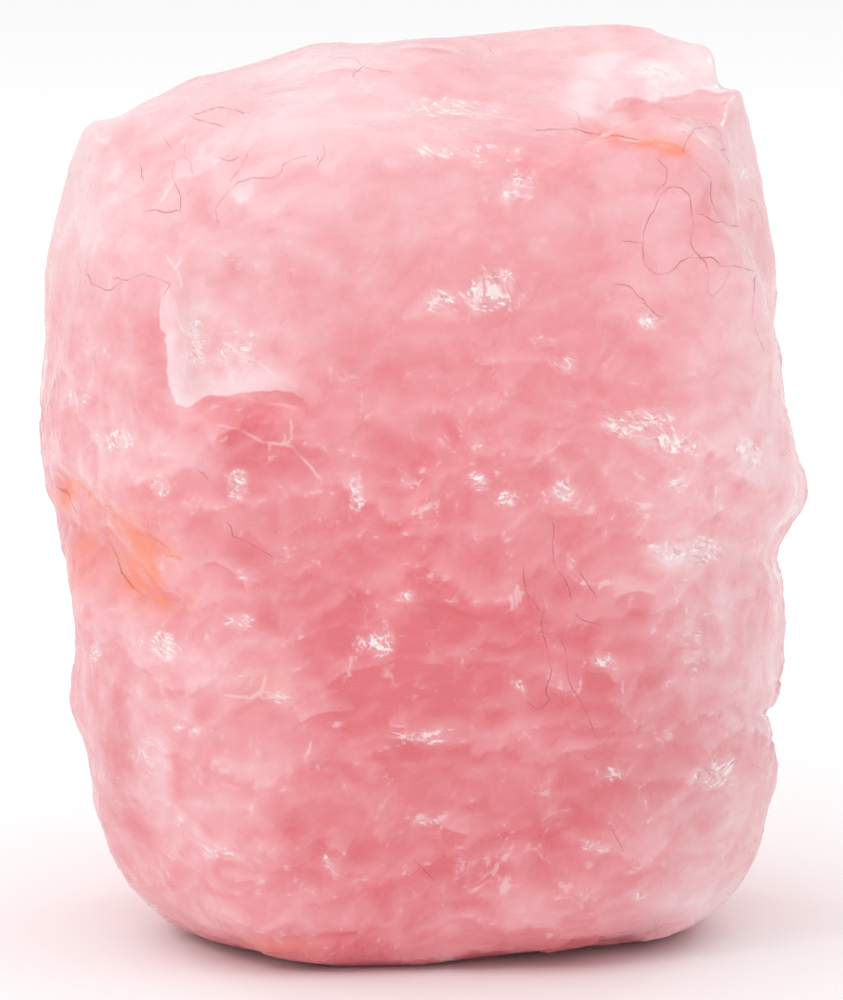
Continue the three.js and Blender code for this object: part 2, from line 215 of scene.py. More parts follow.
# marks are given by the column and row where they show in a view of the stone, from an azimuth
# and an elevation; zones are column, row, width, height and amount
frontMarks = {
    "view": (0, 10),
    "tones": (
        # recess and its lip, and the deep hollow below it
        (228, 322, 72, 78, 0.28), (184, 352, 22, 45, 0.24), (240, 382, 50, 12, 0.22),
        (182, 400, 22, 18, 0.22), (310, 335, 40, 40, 0.14), (275, 275, 50, 40, -0.06),
        (262, 417, 42, 16, -0.14), (290, 450, 40, 26, -0.06),
        # shoulder and its white scoop
        (584, 96, 16, 22, 0.38), (606, 62, 16, 24, 0.26), (664, 72, 18, 16, 0.42),
        (634, 84, 12, 20, -0.12), (725, 112, 30, 20, -0.30), (690, 180, 60, 80, -0.26),
        (730, 215, 38, 95, -0.22), (645, 270, 40, 45, 0.09),
        # top and upper face
        (335, 90, 85, 58, 0.20), (515, 155, 95, 42, -0.20), (170, 150, 60, 32, -0.13),
        (105, 165, 45, 45, -0.22), (540, 180, 60, 40, -0.06), (560, 250, 90, 70, -0.14),
        (478, 262, 48, 56, -0.17), (560, 345, 40, 30, -0.12), (425, 350, 45, 30, 0.10),
        (85, 280, 45, 75, -0.14), (140, 240, 40, 40, -0.06),
        # middle
        (420, 410, 150, 30, 0.07), (460, 540, 160, 95, -0.13), (240, 540, 60, 40, 0.13),
        (272, 572, 42, 36, -0.14), (190, 450, 42, 60, 0.30), (325, 495, 40, 30, 0.18),
        (390, 492, 44, 40, -0.13), (500, 400, 60, 25, 0.08), (585, 462, 85, 34, 0.18),
        (505, 500, 70, 28, 0.14), (600, 560, 50, 50, 0.09), (625, 585, 42, 48, 0.15),
        (405, 600, 48, 26, 0.15), (490, 595, 48, 40, -0.10), (450, 692, 130, 50, -0.18),
        (402, 650, 52, 24, -0.16), (598, 692, 20, 20, -0.20), (640, 612, 17, 14, -0.14),
        (588, 632, 14, 12, -0.10), (370, 755, 50, 24, 0.10),
        # left side
        (110, 450, 50, 60, 0.20), (74, 520, 36, 150, -0.18), (165, 570, 40, 45, 0.16),
        (128, 895, 30, 25, 0.12),
        # lower left facet
        (215, 665, 55, 62, 0.27), (205, 718, 45, 40, 0.20), (225, 800, 75, 75, 0.30),
        (290, 800, 45, 45, 0.06), (270, 670, 30, 25, 0.16), (300, 690, 34, 40, 0.13),
        (296, 856, 48, 38, -0.18), (232, 908, 60, 26, 0.16), (118, 790, 24, 80, -0.09),
        (140, 690, 11, 50, 0.18), (160, 772, 12, 50, 0.22), (192, 852, 13, 42, 0.18),
        # right third; the zone at column 690, row 900 is painted light along the foot, against the shade
        # near the floor
        (760, 470, 50, 110, 0.18), (715, 430, 50, 100, 0.05), (725, 500, 25, 30, 0.09),
        (668, 555, 32, 22, 0.28), (700, 610, 60, 90, 0.18), (685, 700, 40, 40, -0.12),
        (770, 555, 25, 40, -0.08), (715, 800, 50, 70, 0.15), (650, 840, 60, 60, 0.10),
        (625, 800, 35, 30, 0.08), (690, 900, 70, 34, 0.34), (712, 338, 50, 40, 0.08),
        # foot
        (460, 875, 150, 60, -0.10), (450, 820, 60, 50, -0.13), (575, 800, 40, 40, -0.15),
        (420, 912, 330, 30, 0.16), (375, 902, 36, 20, 0.10), (330, 908, 36, 22, -0.08),
    ),
    # zones that lie in shade
    "shades": ((700, 720, 110, 190, 0.11), (520, 800, 160, 120, 0.04), (112, 770, 36, 110, 0.06)),
    # zones where the paleness is patchy
    "mottles": (
        (228, 320, 75, 80, 1.0), (620, 80, 60, 40, 1.2), (100, 430, 60, 70, 0.7),
        (690, 560, 70, 160, 0.6), (220, 780, 90, 110, 0.6),
    ),
    "stains": (
        (138, 578, 22, 20, 1.5), (62, 498, 10, 16, 1.5), (82, 556, 14, 36, 0.7), (170, 602, 24, 9, 0.7),
        (128, 552, 26, 24, 0.45), (612, 132, 22, 6, 0.8), (652, 141, 24, 8, 1.1),
        (678, 150, 14, 8, 1.2), (255, 950, 60, 10, 0.55), (262, 684, 26, 22, 0.35),
        (150, 500, 40, 30, 0.16),
    ),
    # frosted bruises, with the glints painted on them
    "bruisesAndGlints": (
        (520, 186, 24, 16, 1.0), (495, 292, 30, 24, 1.0), (570, 363, 14, 12, 1.0),
        (452, 107, 52, 12, 0.9), (467, 152, 66, 12, 0.65), (640, 425, 36, 16, 1.1),
        (684, 444, 38, 9, 1.0), (680, 486, 13, 9, 1.0), (478, 479, 12, 13, 1.0),
        (561, 493, 16, 10, 1.0), (706, 552, 15, 15, 1.3), (668, 550, 24, 16, 0.8),
        (602, 660, 14, 8, 0.9), (404, 595, 14, 8, 1.0), (376, 643, 24, 14, 1.1), (357, 492, 8, 20, 1.2),
        (405, 478, 10, 16, 0.8), (237, 484, 12, 16, 1.5), (163, 486, 10, 10, 1.7),
        (239, 620, 17, 9, 1.4), (166, 648, 13, 14, 1.5), (93, 654, 10, 10, 1.0),
        (117, 438, 22, 14, 1.0), (77, 399, 18, 12, 0.9), (724, 772, 14, 26, 1.0),
        (612, 776, 14, 8, 0.9), (702, 776, 12, 12, 0.9), (640, 898, 12, 8, 0.8), (685, 127, 9, 8, 1.2),
        (746, 175, 8, 10, 1.0), (650, 321, 12, 8, 1.0), (750, 453, 16, 14, 1.0),
        (440, 300, 22, 16, 0.9), (660, 75, 26, 20, 0.7), (420, 735, 40, 14, 0.6),
        (280, 700, 24, 10, 0.6), (255, 850, 30, 20, 0.45), (512, 500, 22, 12, 0.6),
        (470, 436, 40, 12, 0.5), (585, 452, 24, 8, 0.6), (420, 818, 30, 10, 0.5),
        (560, 812, 24, 8, 0.5), (330, 520, 16, 8, 0.5), (700, 640, 10, 24, 0.5),
        (655, 735, 20, 12, 0.5), (206, 735, 20, 14, 0.5), (470, 652, 20, 8, 0.5),
        (540, 340, 18, 8, 0.5), (192, 335, 18, 26, 0.6), (230, 350, 40, 34, 0.55),
        (230, 265, 40, 20, 0.45), (110, 345, 20, 20, 0.5), (690, 660, 24, 40, 0.45),
    ),
    # three sets, so that two hairlines that meet are kept apart
    "hairlines": (
        (
            ((308, 155), (291, 160), (281, 166), (282, 174), (270, 178), (251, 178), (239, 182),
             (228, 193), (219, 203), (215, 210), (217, 219)),
            ((175, 162), (182, 155), (191, 162), (193, 174)),
            ((195, 114), (219, 106), (243, 112)),
            ((324, 147), (325, 155), (318, 164)),
            ((147, 211), (154, 210), (166, 213), (175, 211)),
            ((88, 274), (92, 284), (100, 288), (110, 291), (119, 284)),
            ((661, 195), (670, 186), (682, 188), (689, 195), (692, 215), (694, 226), (691, 243),
             (694, 251), (705, 261), (709, 274), (707, 291), (712, 298), (722, 288), (728, 274)),
            ((753, 278), (753, 299), (751, 314)),
            ((660, 162), (667, 168), (666, 181), (654, 195)),
            ((617, 284), (629, 285), (636, 294), (642, 299)),
            ((554, 525), (553, 544), (554, 566), (562, 575), (568, 586), (571, 596)),
            ((544, 613), (541, 623), (544, 637), (548, 648), (549, 662), (552, 671), (547, 685),
             (545, 694), (550, 699), (543, 709), (537, 711), (530, 705)),
            ((202, 473), (215, 486)),
            ((612, 829), (622, 848)),
        ),
        (
            ((175, 162), (172, 173), (175, 184), (181, 195), (180, 208)),
            ((193, 118), (221, 125)),
            ((217, 157), (228, 162), (239, 158)),
            ((166, 141), (173, 151)),
            ((118, 278), (127, 281), (144, 274), (164, 281), (170, 284), (166, 291)),
            ((661, 195), (654, 210), (646, 223), (643, 234), (643, 254), (645, 266), (656, 274),
             (667, 275), (675, 268), (682, 260), (688, 258)),
            ((753, 322), (757, 336), (763, 350)),
            ((699, 128), (711, 127), (719, 131), (721, 141), (723, 151)),
            ((702, 214), (716, 222), (728, 220), (740, 226)),
            ((646, 305), (658, 316)),
            ((524, 571), (524, 581), (527, 595), (534, 602), (538, 609)),
            ((562, 640), (567, 657), (569, 682), (581, 702), (589, 719), (595, 735), (603, 742)),
            ((230, 525), (233, 536), (247, 542), (270, 555)),
            ((418, 863), (431, 877)),
        ),
        (
            ((248, 155), (241, 167), (232, 180)),
            ((184, 151), (185, 140), (193, 134)),
            ((141, 166), (142, 177)),
            ((702, 258), (711, 257), (719, 263), (722, 270), (724, 266), (736, 266), (750, 271)),
            ((685, 147), (687, 140), (692, 133)),
            ((699, 162), (714, 175), (715, 195), (722, 212), (733, 223)),
            ((627, 241), (642, 243)),
            ((581, 575), (588, 585), (595, 595)),
            ((578, 617), (586, 622), (598, 624), (602, 627)),
            ((98, 541), (108, 556), (115, 573), (126, 586), (137, 594)),
            ((60, 489), (67, 501), (77, 514)),
            ((536, 130), (560, 129), (586, 127), (612, 130), (640, 136)),
        ),
    ),
    "veins": (
        ((219, 425), (239, 429), (263, 442), (291, 445), (304, 459), (318, 476)),
        ((292, 424), (291, 445)),
        ((225, 695), (250, 699), (262, 690), (266, 676)),
        ((264, 699), (285, 697)),
        ((179, 321), (184, 335), (198, 331), (205, 328)),
        ((198, 335), (187, 352), (184, 372)),
        ((229, 345), (240, 356), (254, 359), (270, 372)),
        ((168, 258), (176, 268), (182, 284)),
        # the last line is a painted highlight down a ridge
        ((706, 748), (712, 765), (722, 783), (731, 795)),
    ),
    "rust": (
        ((590, 130), (612, 130), (632, 133), (654, 138), (674, 143), (691, 154)),
        ((101, 539), (110, 561), (121, 583), (138, 594), (160, 600)),
        ((54, 488), (62, 500), (70, 510)),
    ),
    # facet edges, paler above and deeper below where they run to the right
    "edges": (
        (
            ((160, 262), (161, 290), (162, 318), (164, 345), (166, 370), (170, 393), (176, 405),
             (188, 408), (199, 401), (209, 395), (219, 399), (233, 396), (247, 394), (262, 391),
             (277, 388), (292, 390), (303, 397), (314, 412), (322, 425)),
            ((598, 117), (606, 108), (616, 99), (637, 92), (665, 92), (686, 90), (717, 86), (735, 93),
             (745, 112)),
        ),
        (
            ((300, 700), (320, 690), (341, 674), (360, 669), (395, 660), (416, 660), (451, 670),
             (475, 680)),
            ((209, 450), (220, 432), (233, 427), (252, 432)),
            ((286, 726), (300, 719), (328, 712), (356, 711), (367, 713)),
            ((185, 576), (213, 565), (241, 583), (248, 604)),
            ((433, 831), (447, 828), (475, 838)),
            ((318, 843), (335, 845), (349, 857)),
            ((604, 603), (640, 592), (664, 600)),
            ((580, 668), (604, 672), (622, 690)),
            ((590, 130), (612, 131), (632, 135), (660, 141), (691, 156)),
        ),
    ),
    # points, depth in millimetres, half width in columns
    "grooves": (
        (((48, 512), (75, 530), (100, 545), (118, 575), (140, 596), (178, 606)), 1.2, 14),
        (((588, 130), (632, 133), (660, 140), (691, 154), (706, 170), (715, 195), (733, 223)), 0.9, 9),
        (((612, 102), (640, 94), (686, 91), (714, 87), (730, 84)), 1.0, 9),
        (((118, 640), (122, 700), (135, 760), (160, 830), (196, 900)), 0.25, 18),
        (((786, 555), (770, 558), (748, 554)), 0.6, 13),
        (((768, 714), (752, 716), (730, 708)), 1.2, 12),
    ),
    # zones that stand proud or shrink back, in millimetres
    "swells": (
        (792, 412, 34, 42, -1.3), (806, 500, 26, 24, 1.1), (788, 672, 26, 40, -0.9),
        (786, 738, 22, 26, -0.9), (772, 290, 24, 50, 0.5), (640, 28, 70, 16, 0.9),
        (330, 48, 50, 10, 0.6), (150, 92, 40, 12, -0.5), (98, 136, 18, 20, 1.3), (704, 58, 16, 20, 1.3),
        (720, 95, 7, 7, -0.4), (733, 94, 13, 9, 0.85), (72, 705, 18, 30, 0.5), (105, 860, 20, 24, 0.5),
    ),
}
rightMarks = {
    "view": (90, 10),
    "tones": ((430, 590, 170, 230, -0.22), (450, 640, 100, 110, -0.12), (400, 300, 120, 80, -0.10),
              (560, 430, 60, 40, 0.15), (300, 700, 60, 60, 0.12)),
    "mottles": ((290, 560, 110, 200, 0.8), (560, 700, 80, 80, 0.6)),
    "stains": ((300, 312, 26, 44, 0.4), (560, 760, 30, 16, 0.4)),
    "hairlines": (
        (((430, 250), (442, 268), (440, 290), (455, 310), (452, 335)),
         ((300, 520), (312, 545), (309, 580))),
        (((455, 310), (475, 318), (490, 312), (505, 322)),
         ((520, 640), (540, 655), (552, 690), (549, 720))),
        (((380, 240), (398, 246), (410, 262)),),
    ),
    "veins": (((470, 520), (500, 530), (520, 552)), ((380, 700), (402, 690), (430, 698))),
    "rust": (((290, 280), (300, 300), (298, 325), (310, 345)),),
    "edges": ((), (((330, 470), (380, 452), (430, 460), (470, 482)), ((500, 600), (545, 588), (580, 600)))),
}
backMarks = {
    "view": (180, 10),
    "tones": ((400, 640, 150, 120, -0.10), (560, 300, 70, 60, 0.18), (270, 470, 60, 50, 0.16)),
    "stains": ((585, 420, 40, 20, 0.9), (240, 760, 26, 30, 0.7), (420, 930, 70, 14, 0.6)),
    "hairlines": (
        (((300, 190), (322, 204), (326, 230), (345, 248), (350, 280)),
         ((520, 560), (528, 590), (520, 622)),
         ((610, 700), (622, 728), (640, 740))),
        (((345, 248), (372, 250), (390, 240)), ((440, 330), (452, 356), (448, 380), (462, 402))),
        (((250, 300), (268, 310), (276, 330)), ((360, 720), (380, 742), (384, 770))),
    ),
    "veins": (((480, 470), (510, 480), (540, 505)), ((300, 600), (330, 590), (362, 600), (380, 620))),
    "rust": (((556, 412), (580, 420), (610, 424), (636, 436)),),
    "edges": (
        (((250, 420), (300, 400), (350, 404), (390, 422)),
         ((430, 610), (480, 596), (530, 606), (560, 626))),
        (((330, 760), (372, 748), (410, 758)), ((560, 780), (596, 772), (620, 786))),
    ),
}
leftMarks = {
    "view": (270, 10),
    "tones": ((420, 590, 170, 230, -0.22), (390, 660, 100, 110, -0.10), (430, 320, 120, 80, -0.10),
              (600, 660, 60, 60, 0.10), (300, 470, 50, 60, 0.12)),
    "mottles": ((560, 600, 110, 180, 0.8), (300, 300, 80, 80, 0.6)),
    "stains": ((690, 545, 40, 30, 0.8), (610, 524, 50, 12, 0.5), (330, 380, 26, 18, 0.5)),
    "hairlines": (
        (((520, 230), (530, 250), (526, 276), (540, 296)),
         ((350, 560), (362, 590), (358, 620), (370, 650))),
        (((540, 296), (562, 300), (580, 318)), ((450, 760), (470, 772), (478, 800))),
        (((420, 420), (436, 440), (434, 462)),),
    ),
    "veins": (((480, 600), (512, 592), (540, 604)),),
    "rust": (((560, 516), (600, 524), (640, 530), (690, 548), (720, 556)),),
    "edges": ((), (((420, 540), (470, 522), (520, 530)), ((300, 700), (340, 690), (372, 702)))),
    "grooves": ((((740, 560), (690, 545), (640, 530), (590, 522), (540, 528)), 1.3, 14),),
}
topMarks = {
    "view": (0, 78),
    "tones": ((420, 480, 130, 90, -0.12), (600, 420, 60, 60, 0.10)),
    "stains": ((620, 600, 40, 14, 0.6),),
    "hairlines": (
        (((330, 420), (352, 436), (360, 462), (384, 470)), ((560, 520), (580, 534), (584, 556))),
        (((360, 462), (350, 486), (356, 508)), ((470, 330), (490, 342), (494, 366))),
        (((260, 520), (280, 526), (296, 518)),),
    ),
    "veins": (((440, 560), (480, 556), (520, 566)),),
    "rust": (),
    "edges": ((), (((380, 400), (430, 392), (480, 402)), ((300, 470), (340, 462), (372, 474)))),
}
allMarks = (frontMarks, rightMarks, backMarks, leftMarks, topMarks)

# how squarely a place faces a view where its marks begin to show, and where they show in full
facingLimits = {
    "front": (0.02, 0.25),
    "others": (0.3, 0.6),
    "wrapped": (-0.25, 0.1),     # front tones and shades, which run on round the corners
    "swells": (-0.8, -0.1),
    "grooves": (-0.3, 0.1),
    "calm": (0.1, 0.4),          # fewer chance bruises in front
    "frontLines": 0.05,
    "otherLines": 0.45,
}
# distances in columns of the image
lines = {
    "farthest": 60.0,
    "endShare": 0.25,            # part of a line's length that counts as an end
    "edgeFade": 46,              # how much farther off the ends of a facet edge count
    "hairlineSets": 3,
    "edgeSets": 2,
}


def seenFrom(places, normals, view):
    # columns and rows of every point, and how squarely it faces that way
    right, up, back, eye = sightAxes(*view)
    away = places - np.array(eye)
    depth = -away @ np.array(back)
    pixels = sight["rows"] * sight["distance"] / sight["frameHeight"]
    column = sight["columns"] / 2 + (away @ np.array(right)) / depth * pixels
    row = sight["rows"] / 2 - (away @ np.array(up)) / depth * pixels
    return np.stack((column, row), 1), normals @ np.array(back)


def zoneSum(spots, zones):
    total = np.zeros(len(spots))
    for column, row, wide, tall, amount in zones:
        off = ((spots[:, 0] - column) / wide) ** 2 + ((spots[:, 1] - row) / tall) ** 2
        total += amount * np.exp(-off)
    return total


def sideOfLine(spots, points, endFade=0):
    # distance to a crooked line, and the same distance with the side it lies on as its sign;
    # with endFade the line counts as farther off towards its two ends
    points = np.array(points, float)
    along = points[1:] - points[:-1]
    lengths = np.linalg.norm(along, axis=1)
    before = np.cumsum(lengths) - lengths
    along /= lengths[:, None]
    bends = np.vstack((along[:1], along[1:] + along[:-1], along[-1:]))
    bends /= np.linalg.norm(bends, axis=1)[:, None]
    near = np.full(len(spots), np.inf)
    side = np.full(len(spots), np.inf)
    done = np.zeros(len(spots))
    for index, length in enumerate(lengths):
        start = points[index]
        share = np.clip(((spots - start) @ along[index]) / length, 0, 1)
        off = spots - start - share[:, None] * along[index] * length
        reach = np.linalg.norm(off, axis=1)
        course = bends[index] + share[:, None] * (bends[index + 1] - bends[index])
        turn = course[:, 0] * off[:, 1] - course[:, 1] * off[:, 0]
        closer = reach < near
        near = np.where(closer, reach, near)
        side = np.where(closer, np.where(turn < 0, -reach, reach), side)
        done = np.where(closer, (before[index] + share * length) / lengths.sum(), done)
    ends = 1 - smoothStep(0, lines["endShare"], np.minimum(done, 1 - done))
    return near + endFade * ends, side


def linesField(views, kind, layer=None, endFade=0):
    # the nearest of all lines of one set, over all the views
    near = np.full(len(views[0][0]), lines["farthest"])
    side = np.full(len(near), lines["farthest"])
    for (spots, facing), marks in zip(views, allMarks):
        seen = facing > facingLimits["frontLines" if marks is frontMarks else "otherLines"]
        picked = marks[kind] if layer is None else marks[kind][layer]
        for points in picked:
            reach, turn = sideOfLine(spots, points, endFade)
            closer = (reach < near) & seen
            near = np.where(closer, reach, near)
            side = np.where(closer, turn, side)
    return near, side


# paleness deep in the middle of the faces, and what the sides and the top add over some millimetres; the
# paler sides are in part a painted glow of light through the thin edges, the paler top in part painted
# light from above
tones = {
    "deep": 0.12,
    "sides": {"over": (26, 52), "pale": 0.49},
    "top": {"over": (72, 122), "pale": 0.57},
}
# lengths, cells, depths and heights in millimetres; tone, tint, shade and web are swings of paleness
relief = {
    "bend": {"length": 10, "reach": 9},     # drift that makes the hollows irregular
    "wide": {"cell": (17, 17, 11), "depth": 1.3, "shade": 0.14, "tint": 0.12, "edge": 0.07, "web": 0.05},
    "small": {"cell": (6.5, 6.5, 4.2), "depth": 0.5, "shade": 0.10, "tint": 0.06, "edge": 0.12,
              "web": 0.09},
    "level": 0.25,                          # height of a hollow that counts as none
    "lean": 0.7,
    "webReach": 0.4,
    "webHollow": -0.3,
    "crumple": {"cell": (2.7, 2.7, 1.8), "depth": 0.35, "bruiseAndGlint": (0.1, 0.9)},
    "grain": {"length": 2.4, "detail": 3, "roughness": 0.6, "height": 0.2},
    "cloud": {"length": 16, "detail": 3, "roughness": 0.55, "tone": 0.6},
    "smallCloud": {"length": 5, "roughness": 0.6, "flatten": (1, 1, 1.5), "tone": 0.4},
    "patches": {"length": 4, "roughness": 0.6, "tone": 0.5},
    "streaks": {"cell": (1.3, 1.3, 14), "tone": 0.45},
    "wildBruiseAndGlint": {"length": 8, "crowding": (0.62, 0.74), "front": 0.48, "elsewhere": 1.0},
    "ribs": {"cell": (1.8, 1.8, 15), "height": 0.15, "across": (34, 46), "facing": (0.5, 0.85)},
    "smoothAbove": (74, 92),
    "smoothShare": 0.42,                    # relief left above that
    "sideShare": 0.75,                      # relief left among the ribs
    "baseFade": (0.4, 3.0),
}


def markZones(mesh, places, views):
    # paleness, stains and the other fields of zones, and how far the surface is pushed out
    across = np.abs(places[:, 0]) * perMetre
    height = places[:, 2] * perMetre
    fields = {name: np.zeros(len(places)) for name in ("stains", "bruisesAndGlints", "mottles", "shades")}
    # paler sides and top: partly painted light, a glow through the thin edges and light from above
    tone = tones["deep"] + tones["sides"]["pale"] * smoothStep(*tones["sides"]["over"], across)
    tone += tones["top"]["pale"] * smoothStep(*tones["top"]["over"], height)
    push = np.zeros(len(places))
    for (spots, facing), marks in zip(views, allMarks):
        inFront = marks is frontMarks
        seen = smoothStep(*facingLimits["front" if inFront else "others"], facing)
        wrapped = smoothStep(*facingLimits["wrapped"], facing) if inFront else seen
        tone += zoneSum(spots, marks["tones"]) * wrapped
        for name, field in fields.items():
            field += zoneSum(spots, marks.get(name, ())) * (wrapped if name == "shades" else seen)
        push += zoneSum(spots, marks.get("swells", ())) * smoothStep(*facingLimits["swells"], facing)
        for points, depth, wide in marks.get("grooves", ()):
            near = sideOfLine(spots, points)[0]
            groove = depth * np.exp(-(near / wide) ** 2)
            push -= groove * smoothStep(*facingLimits["grooves"], facing)
    keepField(mesh, "tone", tone)
    for name, field in fields.items():
        keepField(mesh, name, field)
    return push


def markRoughness(mesh, places, normals, views):
    # where the ribs are, how rough the stone is, and how far up from the base the relief sets in
    sideways = np.abs(normals[:, 0])
    across = np.abs(places[:, 0]) * perMetre
    height = places[:, 2] * perMetre
    high = smoothStep(*relief["smoothAbove"], height)
    ribs = smoothStep(*relief["ribs"]["across"], across) * smoothStep(*relief["ribs"]["facing"], sideways)
    ribs *= 1 - high
    rough = 1 - (1 - relief["smoothShare"]) * high
    lift = smoothStep(*relief["baseFade"], height)
    keepField(mesh, "ribs", ribs)
    keepField(mesh, "rough", rough * (1 - (1 - relief["sideShare"]) * ribs))
    keepField(mesh, "front", smoothStep(*facingLimits["calm"], views[0][1]))
    keepField(mesh, "lift", lift)
    return lift


def markLines(mesh, views):
    cracks = [linesField(views, "hairlines", layer) for layer in range(lines["hairlineSets"])]
    edges = [linesField(views, "edges", layer, lines["edgeFade"]) for layer in range(lines["edgeSets"])]
    rust = linesField(views, "rust")
    for name, sets in (("crack", cracks), ("facet", edges + [rust])):
        keepField(mesh, name + "Near", np.stack([near for near, side in sets], 1))
        keepField(mesh, name + "Side", np.stack([side for near, side in sets], 1))
    near, side = linesField(views, "veins")
    keepField(mesh, "veinNear", near)
    keepField(mesh, "veinSide", side)


def markStone(mesh):
    places = vertexTable(mesh, "co")
    normals = vertexTable(mesh, "normal")
    views = [seenFrom(places, normals, marks["view"]) for marks in allMarks]
    push = markZones(mesh, places, views)
    lift = markRoughness(mesh, places, normals, views)
    markLines(mesh, views)
    placeVertices(mesh, places + normals * (push * lift / perMetre)[:, None])


def feed(tree, socket, value):
    if isinstance(value, bpy.types.NodeSocket):
        tree.links.new(value, socket)
    else:
        socket.default_value = value


def addNode(tree, kind, sockets=None, **settings):
    made = tree.nodes.new(kind)
    for name, value in settings.items():
        setattr(made, name, value)
    for name, value in (sockets or {}).items():
        feed(tree, made.inputs[name], value)
    return made


def calc(tree, operation, *values, clamp=False):
    made = addNode(tree, "ShaderNodeMath", dict(enumerate(values)), operation=operation, use_clamp=clamp)
    return made.outputs[0]


def vector(tree, operation, *values):
    made = addNode(tree, "ShaderNodeVectorMath", dict(enumerate(values)), operation=operation)
    return made.outputs["Value" if operation == "DOT_PRODUCT" else "Vector"]


def split(tree, value):
    return addNode(tree, "ShaderNodeSeparateXYZ", {0: value}).outputs


def ramp(tree, value, low, high, start=0.0, end=1.0):
    sockets = {"Value": value, "From Min": low, "From Max": high, "To Min": start, "To Max": end}
    made = addNode(tree, "ShaderNodeMapRange", sockets, interpolation_type="SMOOTHSTEP")
    return made.outputs["Result"]


def speckle(tree, place, look):
    # specks of one length, or as long along each axis as a cell
    if "cell" in look:
        place = vector(tree, "DIVIDE", place, look["cell"])
    sockets = {"Vector": place, "Scale": 1 / look.get("length", 1), "Detail": look.get("detail", 2),
               "Roughness": look.get("roughness", 0.5)}
    return addNode(tree, "ShaderNodeTexNoise", sockets)


def cellNoise(tree, spot, feature="F1"):
    return addNode(tree, "ShaderNodeTexVoronoi", {"Vector": spot, "Scale": 1.0}, feature=feature)


def upDown(tree, value, reach):
    # a 0 to 1 value turned into one that swings both ways
    return calc(tree, "MULTIPLY", calc(tree, "SUBTRACT", value, 0.5), reach)


def everyWay(tree, colour):
    # a random colour turned into a way to go
    return vector(tree, "SUBTRACT", colour, (0.5, 0.5, 0.5))


def bentPlace(tree, place):
    bend = relief["bend"]
    drift = everyWay(tree, speckle(tree, place, bend).outputs["Color"])
    return vector(tree, "MULTIPLY_ADD", drift, (bend["reach"],) * 3, place)


def leaningCells(tree, bent, size):
    # cells that each lean their own way: spot, cell noise, place inside the cell, lean and tilt
    spot = vector(tree, "DIVIDE", bent, size)
    cells = cellNoise(tree, spot)
    local = vector(tree, "SUBTRACT", spot, cells.outputs["Position"])
    lean = everyWay(tree, cells.outputs["Color"])
    return spot, cells, local, lean, vector(tree, "DOT_PRODUCT", local, lean)


def shellLayer(tree, bent, look):
    # one layer of hollows: its height, its tone and the nearness of its edges
    spot, cells, local, lean, tilt = leaningCells(tree, bent, look["cell"])
    bowl = calc(tree, "SUBTRACT", calc(tree, "POWER", cells.outputs["Distance"], 2.0), relief["level"])
    height = calc(tree, "ADD", bowl, calc(tree, "MULTIPLY", tilt, relief["lean"]))
    height = calc(tree, "MULTIPLY", height, look["depth"])
    tone = calc(tree, "MULTIPLY", split(tree, local)[2], -look["shade"])
    tone = calc(tree, "MULTIPLY_ADD", split(tree, lean)[0], look["tint"], tone)
    border = cellNoise(tree, spot, "DISTANCE_TO_EDGE").outputs["Distance"]
    edge = ramp(tree, border, 0.0, look["edge"], 1.0, 0.0)
    web = ramp(tree, border, 0.0, relief["webReach"], look["web"], relief["webHollow"] * look["web"])
    return height, calc(tree, "ADD", tone, web), edge


def storeField(tree, mesh, name, value, kind="FLOAT"):
    sockets = {"Geometry": mesh, "Name": name, "Value": value}
    made = addNode(tree, "GeometryNodeStoreNamedAttribute", sockets, data_type=kind, domain="POINT")
    return made.outputs["Geometry"]


def readField(tree, name):
    made = addNode(tree, "GeometryNodeInputNamedAttribute", {"Name": name}, data_type="FLOAT")
    return made.outputs["Attribute"]


